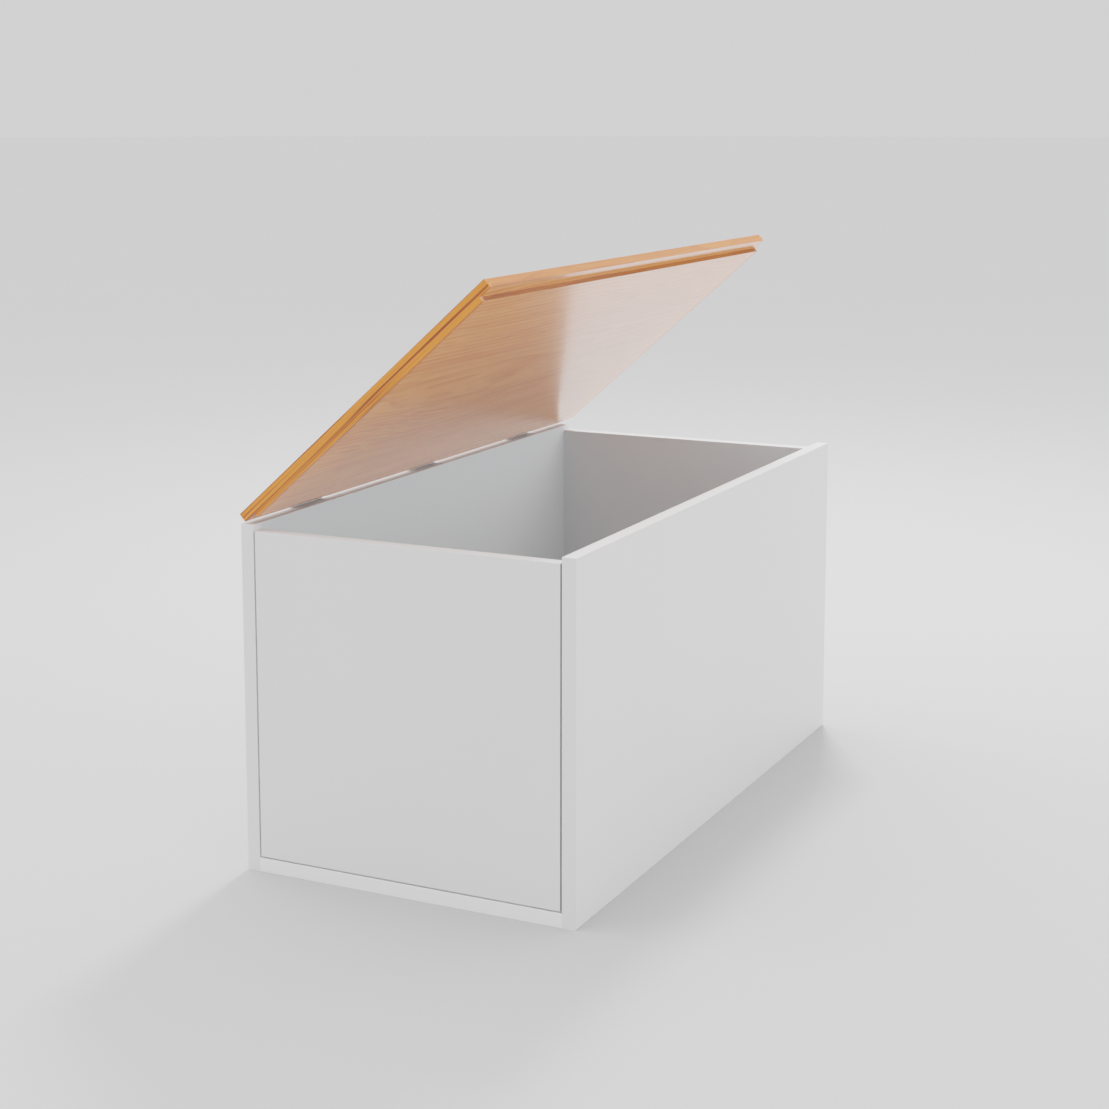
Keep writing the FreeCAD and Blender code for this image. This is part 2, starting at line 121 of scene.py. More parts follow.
class BENCH_PG_lid(bpy.types.PropertyGroup):
    rim: length_property("Rim", "Thickness of the rim that lies on the long panels", 0.012)
    tongue: length_property("Tongue", "Depth of the lid's middle below its rim", 0.006)
    rebate: length_property("Rebate", "Width of the rim beside the lid's middle", 0.0186)
    arris: length_property("Arris", "Radius of the lid's eased edges", 0.0003)
    hand_edge: length_property("Hand edge", "Radius of the lid's upper front edge", 0.0008)
    pale: colour_property("Pale oak", "Colour of the early wood", (0.95, 0.32, 0.078))
    brown: colour_property("Brown oak", "Colour of the late wood", (0.65, 0.165, 0.027))
    strip_pale: colour_property("Pale strip", "Early wood of the end strips", (0.69, 0.175, 0.017))
    strip_brown: colour_property("Brown strip", "Late wood of the end strips", (0.19, 0.032, 0.004))
    # Painted shade: the board's front edge and the step under the rim are painted darker than the rest of the
    # oak.
    front_edge_shade: colour_property("Edge shade", "Tint of the board's front edge", (0.49, 0.40, 0.29))
    step_shade: colour_property("Step shade", "Tint of the step under the rim", (0.33, 0.275, 0.19))
    gloss: share_property("Roughness", "Roughness of the gloss lacquer", 0.15)


class BENCH_PG_hinges(bpy.types.PropertyGroup):
    coating: colour_property("Coating", "Colour of the powder-coated leaves", (0.66, 0.655, 0.65))
    knuckle_room: length_property("Knuckle room", "Half the height of the notch for a knuckle", 0.0029)
    leaf_room: length_property("Leaf room", "Depth of the mortise for the moving leaf", 0.0018)


class BENCH_PG_studio(bpy.types.PropertyGroup):
    camera_turn: FloatProperty(
        name="Camera turn", description="Heading of the camera from +X",
        default=math.radians(25.794), subtype="ANGLE",
    )
    camera_tilt: FloatProperty(
        name="Camera tilt", description="Tilt of the camera below level",
        default=math.radians(8.122), subtype="ANGLE",
    )
    camera_spot: FloatVectorProperty(
        name="Camera place", description="Where the camera stands", default=(-2.5623, -1.2210, 0.9636),
        size=3, subtype="TRANSLATION",
    )
    lens: FloatProperty(name="Lens", description="Focal length on a 36 mm sensor, in mm", default=67.35)
    rise: FloatProperty(name="Rise", description="Vertical shift, in frame widths", default=-0.1393)
    floor: colour_property("Floor", "Colour of the floor", (0.335, 0.332, 0.335))
    horizon: colour_property("Horizon", "Colour of the background, before its strength", (0.46, 0.455, 0.46))
    end_light: FloatProperty(name="End light", description="Light from past the two ends", default=0.14)
    side_light: FloatProperty(name="Side light", description="What the front and back add", default=0.98)
    top_light: FloatProperty(name="Top light", description="What is added straight overhead", default=1.8)
    back_lean: FloatProperty(name="Back lean", description="What high light adds at the back", default=2.2)
    front_lean: FloatProperty(name="Front lean", description="What low light adds at the front", default=0.24)
    ambient: FloatProperty(name="Ambient", description="Strength of the light all round", default=2.45, min=0)
    key_spot: FloatVectorProperty(
        name="Key place", description="Where the key light hangs", default=(1.75, 0.4, 2.7),
        size=3, subtype="TRANSLATION",
    )
    key_size: length_property("Key size", "Width of the key light", 0.5)
    key_power: FloatProperty(name="Key", description="Power of the key light, in W", default=158)
    fill_spot: FloatVectorProperty(
        name="Fill place", description="Where the fill light hangs", default=(1.5, -1.3, 1.2),
        size=3, subtype="TRANSLATION",
    )
    fill_power: FloatProperty(name="Fill", description="Power of the fill light, in W", default=9)


# ------------------------------------------------------------------------------------ mesh helpers


def deselect_all():
    if bpy.context.object and bpy.context.object.mode != "OBJECT":
        bpy.ops.object.mode_set(mode="OBJECT")
    bpy.ops.object.select_all(action="DESELECT")


def block(name, low, high):
    """A box between two corners, made from a cube, with its place in its mesh."""
    deselect_all()
    low, high = Vector(low), Vector(high)
    bpy.ops.mesh.primitive_cube_add(size=1, location=(low + high) / 2, scale=high - low)
    piece = bpy.context.object
    piece.name = piece.data.name = name
    bpy.ops.object.transform_apply(location=True, rotation=True, scale=True)
    return piece


def pick(piece, kind, wanted):
    """In edit mode, selects just the faces or edges that a test on each one's middle picks out."""
    bpy.ops.mesh.select_mode(type=kind)
    bpy.ops.mesh.select_all(action="DESELECT")
    mesh = bmesh.from_edit_mesh(piece.data)
    for part in mesh.faces if kind == "FACE" else mesh.edges:
        middle = sum((v.co for v in part.verts), Vector()) / len(part.verts)
        part.select_set(wanted(part, middle))
    bmesh.update_edit_mesh(piece.data)


def near(a, b, slack=1e-5):
    return abs(a - b) < slack


def along(edge, axis):
    """Whether an edge runs along axis 0, 1 or 2."""
    run = (edge.verts[1].co - edge.verts[0].co).normalized()
    return abs(run[axis]) > 0.999


def bisect_at(axis, place):
    """Cuts the whole mesh in edit mode across an axis at a place, and keeps both halves."""
    normal = [0, 0, 0]
    normal[axis] = 1
    spot = [0, 0, 0]
    spot[axis] = place
    bpy.ops.mesh.select_all(action="SELECT")
    bpy.ops.mesh.bisect(plane_co=spot, plane_no=normal)


def round_edges(piece, radius, wanted, segments=3):
    """Eases the edges that a test picks out."""
    bpy.ops.object.mode_set(mode="EDIT")
    pick(piece, "EDGE", wanted)
    bpy.ops.mesh.bevel(offset=radius, segments=segments, profile=0.5, affect="EDGES")
    bpy.ops.object.mode_set(mode="OBJECT")


def cut_away(piece, cutter):
    """Takes one solid out of another, and throws the cutter away."""
    deselect_all()
    bpy.context.view_layer.objects.active = piece
    piece.select_set(True)
    modifier = piece.modifiers.new("cut", "BOOLEAN")
    modifier.operation = "DIFFERENCE"
    modifier.object = cutter
    modifier.solver = "EXACT"
    bpy.ops.object.modifier_apply(modifier=modifier.name)
    bpy.data.objects.remove(cutter)


def swing_open(piece):
    """Turns a piece that was made on the closed lid to the angle that the lid is stored at."""
    deselect_all()
    bpy.context.view_layer.objects.active = piece
    piece.select_set(True)
    piece.matrix_world = (
        Matrix.Translation(PIN) @ Matrix.Rotation(-OPEN_ANGLE, 4, "X") @ Matrix.Translation(-PIN)
    )
    bpy.ops.object.transform_apply(location=True, rotation=True, scale=True)


def finish_piece(piece, material, slot, body, *nodes):
    """Shades a piece, gives it its finish, ties it to its body and hides the nodes it stands for."""
    deselect_all()
    bpy.context.view_layer.objects.active = piece
    piece.select_set(True)
    bpy.ops.object.shade_smooth_by_angle(angle=math.radians(50))
    flatten = piece.modifiers.new("flat faces", "WEIGHTED_NORMAL")
    flatten.keep_sharp = True
    flatten.weight = 100
    bpy.ops.object.modifier_apply(modifier=flatten.name)
    piece.data.materials.clear()
    piece.data.materials.append(material)
    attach(piece, body)
    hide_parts(*nodes)


# -------------------------------------------------------------------------------- material helpers


def new_material(name, **fixed):
    """A material with a Principled BSDF whose fixed values are set on its own sockets."""
    material = bpy.data.materials.new(name)
    material.use_nodes = True
    shader = material.node_tree.nodes["Principled BSDF"]
    for socket, value in fixed.items():
        shader.inputs[socket.replace("_", " ")].default_value = value
    return material, material.node_tree, shader


def add_node(tree, kind, settings=None, **inputs):
    """Adds a node. Each input is a value or another node's output socket.

    Inputs go by name, with _ for a space, or by number, as i0, i1 and so on.
    """
    made = tree.nodes.new(kind)
    for name, value in (settings or {}).items():
        setattr(made, name, value)
    for name, value in inputs.items():
        by_number = name[0] == "i" and name[1:].isdigit()
        socket = made.inputs[int(name[1:]) if by_number else name.replace("_", " ")]
        if isinstance(value, bpy.types.NodeSocket):
            tree.links.new(value, socket)
        else:
            socket.default_value = value
    return made


def maths(tree, operation, *values):
    numbered = {f"i{n}": value for n, value in enumerate(values)}
    return add_node(tree, "ShaderNodeMath", {"operation": operation}, **numbered).outputs[0]


def mix_colours(tree, factor, a, b, blend="MIX"):
    node = add_node(tree, "ShaderNodeMix", {"data_type": "RGBA", "blend_type": blend}, i0=factor, i6=a, i7=b)
    return node.outputs[2]


def stretched(tree, vector, scale):
    """The coordinates with each axis multiplied."""
    node = add_node(tree, "ShaderNodeVectorMath", {"operation": "MULTIPLY"}, i0=vector, i1=scale)
    return node.outputs[0]


def noise(tree, vector, scale, detail=2.0, roughness=0.5, distortion=0.0):
    node = add_node(
        tree, "ShaderNodeTexNoise", None,
        Vector=vector, Scale=scale, Detail=detail, Roughness=roughness, Distortion=distortion,
    )
    return node.outputs[0]


def span(tree, value, low, high, to_low=0.0, to_high=1.0):
    """Maps a value from one range to another, and holds it there."""
    node = add_node(
        tree, "ShaderNodeMapRange", None,
        Value=value, From_Min=low, From_Max=high, To_Min=to_low, To_Max=to_high,
    )
    return node.outputs[0]


def new_group(name, inputs, outputs):
    """A shader node group with named sockets. Each input is (name, kind, default)."""
    group = bpy.data.node_groups.new(name, "ShaderNodeTree")
    for label, kind, default in inputs:
        socket = group.interface.new_socket(name=label, in_out="INPUT", socket_type=f"NodeSocket{kind}")
        if default is not None:
            socket.default_value = default
    for label, kind in outputs:
        group.interface.new_socket(name=label, in_out="OUTPUT", socket_type=f"NodeSocket{kind}")
    return group, group.nodes.new("NodeGroupInput"), group.nodes.new("NodeGroupOutput")


def place_group(tree, group, **inputs):
    return add_node(tree, "ShaderNodeGroup", {"node_tree": group}, **inputs)


def object_coordinates(tree):
    return add_node(tree, "ShaderNodeTexCoord").outputs["Object"]


def lid_coordinates(tree, grain_across=False):
    """Object coordinates turned back to the closed lid, with the grain along X or, if asked, along Y."""
    turn = Matrix.Rotation(OPEN_ANGLE, 3, "X")
    angles = [OPEN_ANGLE, 0, 0]
    if grain_across:
        turn = Matrix.Rotation(math.pi / 2, 3, "Z") @ turn
        angles = list(turn.to_euler())
    node = add_node(
        tree, "ShaderNodeMapping", None,
        Vector=object_coordinates(tree), Location=-(turn @ PIN), Rotation=angles,
    )
    return node.outputs[0]


# ---------------------------------------------------------------------------------- shared effects


def handling_group():
    """Faint rubbing and dust: a soft patchy mask and a fine speckle over any surface."""
    group, given, result = new_group(
        "Handling marks",
        [("Vector", "Vector", None), ("Patch size", "Float", 0.25), ("Speckle size", "Float", 0.002)],
        [("Patches", "Float"), ("Speckle", "Float")],
    )
    patch_scale = maths(group, "DIVIDE", 1.0, given.outputs["Patch size"])
    speck_scale = maths(group, "DIVIDE", 1.0, given.outputs["Speckle size"])
    patches = noise(group, given.outputs["Vector"], patch_scale, 4, 0.55)
    specks = noise(group, given.outputs["Vector"], speck_scale, 2, 0.5)
    group.links.new(span(group, patches, 0.35, 0.7), result.inputs["Patches"])
    group.links.new(span(group, specks, 0.62, 0.8), result.inputs["Speckle"])
    return group


def spray_group():
    """The ripple that a spray gun leaves in lacquer, as a height in metres."""
    group, given, result = new_group(
        "Sprayed lacquer",
        [("Vector", "Vector", None), ("Ripple size", "Float", 0.003), ("Ripple height", "Float", 0.00001)],
        [("Height", "Float")],
    )
    scale = maths(group, "DIVIDE", 1.0, given.outputs["Ripple size"])
    ripple = noise(group, given.outputs["Vector"], scale, 2, 0.45)
    height = maths(group, "MULTIPLY", ripple, given.outputs["Ripple height"])
    group.links.new(height, result.inputs["Height"])
    return group


def timber_group():
    """Oak: growth rings cut lengthwise, fibre streaks and open pores, with the grain along X."""
    group, given, result = new_group(
        "Oak figure",
        [
            ("Vector", "Vector", None),
            ("Pale", "Color", (0.6, 0.35, 0.18, 1)),
            ("Brown", "Color", (0.4, 0.2, 0.08, 1)),
            ("Ring spacing", "Float", 0.006),
            ("Ring strength", "Float", 0.6),
            ("Line spacing", "Float", 0.004),
            ("Line strength", "Float", 0.4),
            ("Sway", "Float", 0.09),
        ],
        [("Colour", "Color"), ("Height", "Float"), ("Pores", "Float")],
    )
    vector = given.outputs["Vector"]
    wander = noise(group, stretched(group, vector, (1.3, 7, 7)), 1.0, 3, 0.5)
    sway = maths(group, "MULTIPLY", maths(group, "SUBTRACT", wander, 0.5), given.outputs["Sway"])
    moved = add_node(
        group, "ShaderNodeVectorMath", {"operation": "ADD"}, i0=vector,
        i1=add_node(group, "ShaderNodeCombineXYZ", None, X=0.0, Y=sway, Z=sway).outputs[0],
    ).outputs[0]
    heart_offset = (0, 0.26, 0.085)
    heart = add_node(
        group, "ShaderNodeVectorMath", {"operation": "ADD"}, i0=moved, i1=heart_offset
    ).outputs[0]
    apart = add_node(group, "ShaderNodeSeparateXYZ", None, i0=heart)
    square = maths(
        group, "ADD",
        maths(group, "MULTIPLY", apart.outputs[1], apart.outputs[1]),
        maths(group, "MULTIPLY", apart.outputs[2], apart.outputs[2]),
    )
    radius = maths(group, "SQRT", square)
    count = maths(group, "DIVIDE", radius, given.outputs["Ring spacing"])
    phase = maths(group, "FRACT", count)
    late = span(group, phase, 0.25, 0.95)
    early = span(group, phase, 0.95, 1.0, 1.0, 0.0)
    ring = maths(group, "MULTIPLY", maths(group, "MULTIPLY", late, early), given.outputs["Ring strength"])
    fibre = noise(group, stretched(group, moved, (3, 260, 260)), 1.0, 3, 0.6)
    streak = noise(group, stretched(group, moved, (1.1, 38, 38)), 1.0, 3, 0.55)
    shade = maths(group, "ADD", ring, maths(group, "MULTIPLY", span(group, fibre, 0.3, 0.7), 0.24))
    shade = maths(group, "ADD", shade, span(group, streak, 0.3, 0.72, -0.16, 0.28))
    fineness = maths(group, "DIVIDE", 1.0, given.outputs["Line spacing"])
    pull = add_node(group, "ShaderNodeCombineXYZ", None, X=2.2, Y=fineness, Z=fineness).outputs[0]
    line = span(group, noise(group, stretched(group, moved, pull), 1.0, 2, 0.5), 0.36, 0.64, -0.5, 0.5)
    shade = maths(group, "MULTIPLY_ADD", line, given.outputs["Line strength"], shade)
    pores = span(group, noise(group, stretched(group, moved, (26, 1500, 1500)), 1.0, 1, 0.4), 0.60, 0.72)
    colour = mix_colours(
        group, add_node(group, "ShaderNodeClamp", None, Value=shade).outputs[0],
        given.outputs["Pale"], given.outputs["Brown"],
    )
    dark = mix_colours(group, 0.45, given.outputs["Brown"], (0.05, 0.02, 0.01, 1))
    colour = mix_colours(group, maths(group, "MULTIPLY", pores, 0.3), colour, dark)
    group.links.new(colour, result.inputs["Colour"])
    group.links.new(maths(group, "MULTIPLY", pores, -0.000006), result.inputs["Height"])
    group.links.new(pores, result.inputs["Pores"])
    return group


def shared(name):
    """A shared effect's node group, built the first time it is asked for."""
    makers = {"Handling marks": handling_group, "Sprayed lacquer": spray_group, "Oak figure": timber_group}
    return bpy.data.node_groups.get(name) or makers[name]()


def bump(tree, height, distance=1.0, strength=1.0):
    node = add_node(tree, "ShaderNodeBump", None, Height=height, Distance=distance, Strength=strength)
    return node.outputs[0]


# --------------------------------------------------------------------------------------- finishes


def inside_shade_mask(tree, vector):
    """A mask of the faces inside the chest, which are painted darker as painted shade."""
    apart = add_node(tree, "ShaderNodeSeparateXYZ", None, i0=vector)
    across = maths(tree, "LESS_THAN", maths(tree, "ABSOLUTE", apart.outputs[0]), INNER.x + WALL_SLACK)
    along_it = maths(tree, "LESS_THAN", maths(tree, "ABSOLUTE", apart.outputs[1]), INNER.y + WALL_SLACK)
    above = maths(tree, "GREATER_THAN", apart.outputs[2], INNER.z - WALL_SLACK)
    return maths(tree, "MULTIPLY", maths(tree, "MULTIPLY", across, along_it), above)


def gap_shade_mask(tree, vector):
    """A mask of the end panels' own walls inside the shadow gap beside the front panel, which are painted
    darker as painted shade.
    """
    sizes = bpy.context.scene.bench_carcass
    apart = add_node(tree, "ShaderNodeSeparateXYZ", None, i0=vector)
    edge = INNER.y - sizes.shadow_gap
    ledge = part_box("right_end_panel")[1].x - sizes.shadow_depth - PLACE_SLACK
    outside = maths(tree, "GREATER_THAN", maths(tree, "ABSOLUTE", apart.outputs[0]), ledge)
    low_side = maths(tree, "LESS_THAN", apart.outputs[1], GAP_SLACK - edge)
    high_side = maths(tree, "GREATER_THAN", apart.outputs[1], EDGE_SLACK - INNER.y)
    return maths(tree, "MULTIPLY", outside, maths(tree, "MULTIPLY", low_side, high_side))


def top_mask(tree, vector):
    """A mask of the upper edges of the four upright panels, which are painted darker as painted shade and
    given less shine.
    """
    apart = add_node(tree, "ShaderNodeSeparateXYZ", None, i0=vector)
    end_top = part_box("right_end_panel")[1].z
    between = maths(tree, "LESS_THAN", maths(tree, "ABSOLUTE", apart.outputs[1]), INNER.y)
    level = span(tree, between, 0, 1, FRONT_HIGH.z - PLACE_SLACK, end_top - PLACE_SLACK)
    return maths(tree, "GREATER_THAN", apart.outputs[2], level)


def foot_mask(tree, vector):
    """A mask of the two edges of the bottom panel that show under the end panels, which are painted paler as
    painted light.
    """
    apart = add_node(tree, "ShaderNodeSeparateXYZ", None, i0=vector)
    end = FRONT_HIGH.x - PLACE_SLACK
    outside = maths(tree, "GREATER_THAN", maths(tree, "ABSOLUTE", apart.outputs[0]), end)
    between = maths(tree, "LESS_THAN", maths(tree, "ABSOLUTE", apart.outputs[1]), INNER.y)
    low = maths(tree, "LESS_THAN", apart.outputs[2], INNER.z + PLACE_SLACK)
    return maths(tree, "MULTIPLY", outside, maths(tree, "MULTIPLY", between, low))


def white_lacquer():
    """Satin white lacquer, sprayed on board: a faint ripple and slightly uneven sheen, with painted shade
    inside the chest, in the shadow gap and on the upper edges, and painted light on the bottom panel's end
    edges.
    """
    sizes = bpy.context.scene.bench_carcass
    material, tree, shader = new_material("satin_white_lacquer", IOR=1.5)
    vector = object_coordinates(tree)
    spray = place_group(
        tree, shared("Sprayed lacquer"), Vector=vector, Ripple_size=0.0035, Ripple_height=sizes.orange_peel
    )
    marks = place_group(tree, shared("Handling marks"), Vector=vector, Patch_size=0.3, Speckle_size=0.0015)
    rubbed = maths(tree, "MULTIPLY_ADD", marks.outputs["Patches"], -0.025, 1.0)
    # Painted shade: the faces inside the chest take the darker inner colour.
    tone = mix_colours(tree, inside_shade_mask(tree, vector), (*sizes.lacquer, 1), (*sizes.inner, 1))
    # Painted shade: the lacquer in the shadow gap by the front panel is darkened.
    gap_shade_colour = tuple(c * sizes.gap_shade for c in sizes.lacquer)
    tone = mix_colours(tree, gap_shade_mask(tree, vector), tone, (*gap_shade_colour, 1))
    # Painted light: the bottom panel's end edges take the paler colour.
    tone = mix_colours(tree, foot_mask(tree, vector), tone, (*sizes.foot_painted_light, 1))
    # Painted shade: the upper edges are painted darker than the faces; the same mask also dulls their shine.
    upper = tuple(c * sizes.top_shade for c in sizes.lacquer)
    shaded_rubbed_edge = top_mask(tree, vector)
    tone = mix_colours(tree, shaded_rubbed_edge, tone, (*upper, 1))
    shine = span(tree, shaded_rubbed_edge, 0, 1, 0.5, 0.5 * sizes.top_polish)
    tree.links.new(shine, shader.inputs["Specular IOR Level"])
    colour = add_node(tree, "ShaderNodeVectorMath", {"operation": "SCALE"}, i0=tone, Scale=rubbed).outputs[0]
    tree.links.new(colour, shader.inputs["Base Color"])
    rough = span(tree, marks.outputs["Patches"], 0, 1, sizes.sheen, sizes.sheen + 0.06)
    rough = maths(tree, "MULTIPLY_ADD", shaded_rubbed_edge, 0.15, rough)
    tree.links.new(rough, shader.inputs["Roughness"])
    tree.links.new(bump(tree, spray.outputs["Height"]), shader.inputs["Normal"])
    return material


def edge_shade_masks(tree, closed, sizes):
    """Masks, on the closed lid's coordinates, of the front edge and of the step under it, which are painted
    darker as painted shade.
    """
    apart = add_node(tree, "ShaderNodeSeparateXYZ", None, i0=closed)
    depth = BACK_HIGH.y - FRONT_LOW.y
    below_rim = maths(tree, "LESS_THAN", apart.outputs[2], PIN_DROP - sizes.rim - EDGE_SLACK)
    front = maths(tree, "LESS_THAN", apart.outputs[1], PLACE_SLACK - depth)
    step = maths(tree, "COMPARE", apart.outputs[1], sizes.rebate - depth, PLACE_SLACK)
    return front, maths(tree, "MULTIPLY", step, below_rim)


def lacquered_oak(name, grain_across, figure_settings, coat):
    """Oak under gloss lacquer that has sunk a little into its pores."""
    sizes = bpy.context.scene.bench_lid
    material, tree, shader = new_material(name, IOR=1.5, Coat_Weight=coat, Coat_Roughness=0.1)
    figure = place_group(
        tree, shared("Oak figure"), Vector=lid_coordinates(tree, grain_across), **figure_settings
    )
    colour = figure.outputs["Colour"]
    if not grain_across:
        front, step = edge_shade_masks(tree, lid_coordinates(tree), sizes)
        # Painted shade: the front edge and the step under the rim are darkened.
        tint = mix_colours(tree, front, (1, 1, 1, 1), (*sizes.front_edge_shade, 1))
        tint = mix_colours(tree, step, tint, (*sizes.step_shade, 1))
        colour = stretched(tree, colour, tint)
        worn = maths(tree, "MULTIPLY_ADD", front, -0.5, 1.0)
        polish = maths(tree, "MULTIPLY", worn, span(tree, step, 0, 1, 1.0, 0.1))
        tree.links.new(maths(tree, "MULTIPLY", polish, coat), shader.inputs["Coat Weight"])
        tree.links.new(maths(tree, "MULTIPLY", polish, 0.5), shader.inputs["Specular IOR Level"])
    tree.links.new(colour, shader.inputs["Base Color"])
    marks = place_group(
        tree, shared("Handling marks"), Vector=object_coordinates(tree), Patch_size=0.18, Speckle_size=0.002
    )
    rough = maths(
        tree, "ADD", span(tree, marks.outputs["Patches"], 0, 1, sizes.gloss, sizes.gloss + 0.03),
        maths(tree, "MULTIPLY", figure.outputs["Pores"], 0.06),
    )
    tree.links.new(rough, shader.inputs["Roughness"])
    tree.links.new(bump(tree, figure.outputs["Height"]), shader.inputs["Normal"])
    return material


def brushed_metal(name, colour, roughness, brushing):
    """Metal with fine scratches along X; brushing is how strongly they show."""
    material, tree, shader = new_material(name, Metallic=1.0)
    vector = object_coordinates(tree)
    lines = noise(tree, stretched(tree, vector, (60, 4200, 4200)), 1.0, 3, 0.6)
    marks = place_group(tree, shared("Handling marks"), Vector=vector, Patch_size=0.012, Speckle_size=0.0008)
    worn = tuple(c * 0.8 for c in colour)
    tone = mix_colours(
        tree, maths(tree, "MULTIPLY", marks.outputs["Patches"], 0.5), (*colour, 1), (*worn, 1)
    )
    tree.links.new(tone, shader.inputs["Base Color"])
    rough = span(tree, lines, 0.2, 0.8, roughness - 0.06, roughness + 0.1)
    tree.links.new(rough, shader.inputs["Roughness"])
    tree.links.new(bump(tree, lines, distance=brushing, strength=0.6), shader.inputs["Normal"])
    return material


def powder_coat():
    """Matt white powder coating, with its fine even texture."""
    coating = bpy.context.scene.bench_hinges.coating
    material, tree, shader = new_material("white_powder_coat", IOR=1.5)
    vector = object_coordinates(tree)
    grain = place_group(
        tree, shared("Sprayed lacquer"), Vector=vector, Ripple_size=0.0007, Ripple_height=0.000015
    )
    marks = place_group(tree, shared("Handling marks"), Vector=vector, Patch_size=0.02, Speckle_size=0.0008)
    rubbed = maths(tree, "MULTIPLY", marks.outputs["Patches"], 0.2)
    tone = mix_colours(tree, rubbed, (*coating, 1), (*(c * 0.9 for c in coating), 1))
    tree.links.new(tone, shader.inputs["Base Color"])
    tree.links.new(span(tree, marks.outputs["Speckle"], 0, 1, 0.5, 0.6), shader.inputs["Roughness"])
    tree.links.new(bump(tree, grain.outputs["Height"]), shader.inputs["Normal"])
    return material


def raw_beech():
    """Plain pale beech with a fine even fibre, for dowels that lie along every axis."""
    material, tree, shader = new_material("raw_beech", Roughness=0.6)
    vector = object_coordinates(tree)
    fibre = noise(tree, stretched(tree, vector, (900, 900, 900)), 1.0, 3, 0.6)
    tone = mix_colours(tree, fibre, (0.66, 0.47, 0.30, 1), (0.50, 0.33, 0.19, 1))
    tree.links.new(tone, shader.inputs["Base Color"])
    tree.links.new(bump(tree, fibre, distance=0.0001), shader.inputs["Normal"])
    return material


def finish_nodes(material, wanted):
    """Gives a finish to the frame's own nodes that a test on the name picks out."""
    for name, node in frame["nodes"].items():
        if wanted(name):
            for slot in node.material_slots:
                slot.material = material


# ------------------------------------------------------------------------------------- the carcass


class BENCH_OT_long_panels(bpy.types.Operator):
    """Model the front and back panels, which run to the floor, with eased arrises"""

    bl_idname = "bench.long_panels"
    bl_label = "Long panels"

    def execute(self, context):
        sizes = context.scene.bench_carcass
        for node, low, high, outside in (
            ("front_panel", FRONT_LOW, FRONT_HIGH, FRONT_LOW.y),
            ("back_panel", BACK_LOW, BACK_HIGH, BACK_HIGH.y),
        ):
            panel = block(f"{node}_board", low, high)
            round_edges(
                panel, sizes.arris,
                lambda edge, middle: near(middle.y, outside) or near(middle.z, high.z),
            )
            finish_piece(panel, carcass_finish(), "white_lacquer", "carcass", node)
        return {"FINISHED"}


class BENCH_OT_end_panels(bpy.types.Operator):
    """Model the two end panels, each with a shadow gap round its outer face"""

    bl_idname = "bench.end_panels"
    bl_label = "End panels"

    def execute(self, context):
        sizes = context.scene.bench_carcass
        for side, out in zip(SIDES, (-1, 1)):
            node = f"{side}_end_panel"
            low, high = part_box(node)
            outer = low.x if out < 0 else high.x
            ledge = outer - out * sizes.shadow_depth
            slab_low, slab_high = Vector(low), Vector(high)
            (slab_low if out < 0 else slab_high).x = ledge
            panel = block(f"{node}_board", slab_low, slab_high)
            bpy.ops.object.mode_set(mode="EDIT")
            gap = sizes.shadow_gap
            for axis, place in ((1, low.y + gap), (1, high.y - gap), (2, low.z + gap)):
                bisect_at(axis, place)
            pick(
                panel, "FACE",
                lambda face, middle: near(middle.x, ledge) and abs(middle.y) < high.y - gap
                and middle.z > low.z + gap,
            )
            bpy.ops.mesh.extrude_region_move(
                TRANSFORM_OT_translate={"value": (out * sizes.shadow_depth, 0, 0)}
            )
            bpy.ops.object.mode_set(mode="OBJECT")
            inner = high.x if out < 0 else low.x
            round_edges(
                panel, sizes.arris,
                lambda edge, middle: near(middle.x, outer)
                or (near(middle.z, high.z) and near(middle.x, inner) and along(edge, 1)),
            )
            finish_piece(panel, carcass_finish(), "white_lacquer", "carcass", node)
        return {"FINISHED"}


class BENCH_OT_bottom_panel(bpy.types.Operator):
    """Model the bottom panel, which stands on the floor between the long panels"""

    bl_idname = "bench.bottom_panel"
    bl_label = "Bottom panel"

    def execute(self, context):
        sizes = context.scene.bench_carcass
        low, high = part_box("bottom_panel")
        panel = block("bottom_panel_board", low, high)
        round_edges(
            panel, sizes.arris / 2,
            lambda edge, middle: (near(middle.x, low.x) or near(middle.x, high.x)) and along(edge, 1),
        )
        finish_piece(panel, carcass_finish(), "white_lacquer", "carcass", "bottom_panel")
        return {"FINISHED"}


def carcass_finish():
    return bpy.data.materials.get("satin_white_lacquer") or white_lacquer()


class BENCH_OT_dowels(bpy.types.Operator):
    """Give the hidden dowels their finish"""

    bl_idname = "bench.dowels"
    bl_label = "Dowels"

    def execute(self, context):
        finish_nodes(raw_beech(), lambda name: name.endswith("_dowels"))
        return {"FINISHED"}


# ----------------------------------------------------------------------------------------- the lid


def lid_section(name, left, right):
    """A length of the closed lid: a rim above the long panels and a middle that drops between them."""
    sizes = bpy.context.scene.bench_lid
    top = PIN.z + PIN_DROP
    rim_low = top - sizes.rim
    section = block(name, (left, FRONT_LOW.y, rim_low), (right, BACK_HIGH.y, top))
    front, back = FRONT_LOW.y + sizes.rebate, BACK_HIGH.y - sizes.rebate
    bpy.ops.object.mode_set(mode="EDIT")
    bisect_at(1, front)
    bisect_at(1, back)
    pick(section, "FACE", lambda face, middle: near(middle.z, rim_low) and front < middle.y < back)
    bpy.ops.mesh.extrude_region_move(TRANSFORM_OT_translate={"value": (0, 0, -sizes.tongue)})
    pick(section, "FACE", lambda face, middle: near(middle.z, top))
    bpy.ops.mesh.dissolve_faces()
    bpy.ops.object.mode_set(mode="OBJECT")
    return section


